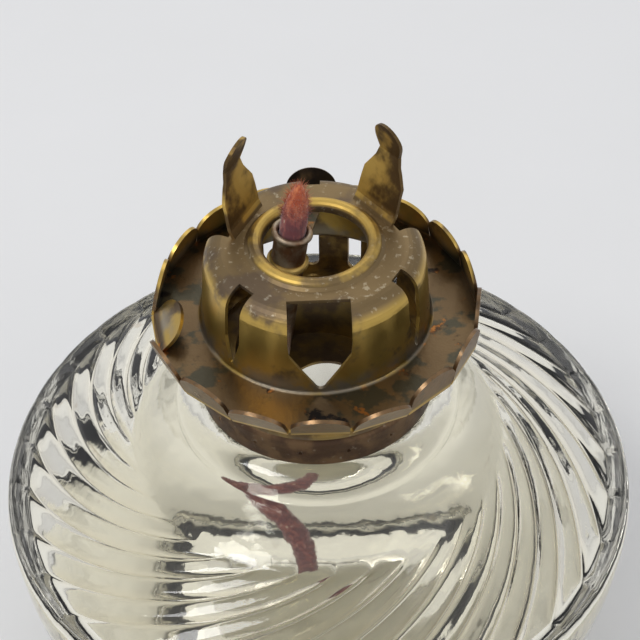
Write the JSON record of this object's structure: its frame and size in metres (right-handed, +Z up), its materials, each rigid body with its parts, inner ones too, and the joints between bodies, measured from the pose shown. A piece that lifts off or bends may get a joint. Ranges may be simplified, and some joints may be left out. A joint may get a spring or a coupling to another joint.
{
  "type": "miniature oil lamp",
  "caption": "Squat clear glass oil lamp with a brass screw collar and a small stamped burner: petalled gallery, spring prongs, round wick.",
  "frame": {"origin": "centre of the foot, on the plane that the lamp stands on", "axes": "+Z up the lamp's axis; -Y towards the front, the window without a prong"},
  "size_m": [0.075, 0.075, 0.0785],
  "materials": {
    "font_glass": "clear pressed glass with a faint straw tint",
    "plaster": "dry lamp plaster",
    "collar_brass": "dark brown tarnish",
    "burner_brass": "aged sheet brass with brown patina",
    "tube_brass": "aged drawn brass",
    "wick_cotton": "dyed plaited cotton"
  },
  "bodies": {
    "lamp_base": {"glass_font": "font_glass", "cement_ring": "plaster", "threaded_collar": "collar_brass"},
    "burner": {"screw_thimble": "burner_brass", "air_drum": "burner_brass", "gallery_crown": "burner_brass", "wick_tube": "tube_brass", "tube_band": "tube_brass", "tube_ferrule": "tube_brass"},
    "wick": {"wick": "wick_cotton", "wick_tail": "wick_cotton"}
  },
  "joints": [
    {"name": "burner_lift", "type": "slide", "parent": "lamp_base", "child": "burner", "axis": [0, 0, 1], "range_m": [0, 0.042]},
    {"name": "wick_slide", "type": "slide", "parent": "burner", "child": "wick", "axis": [0.1392, 0, 0.9903], "range_m": [-0.002, 0.004]}
  ]
}
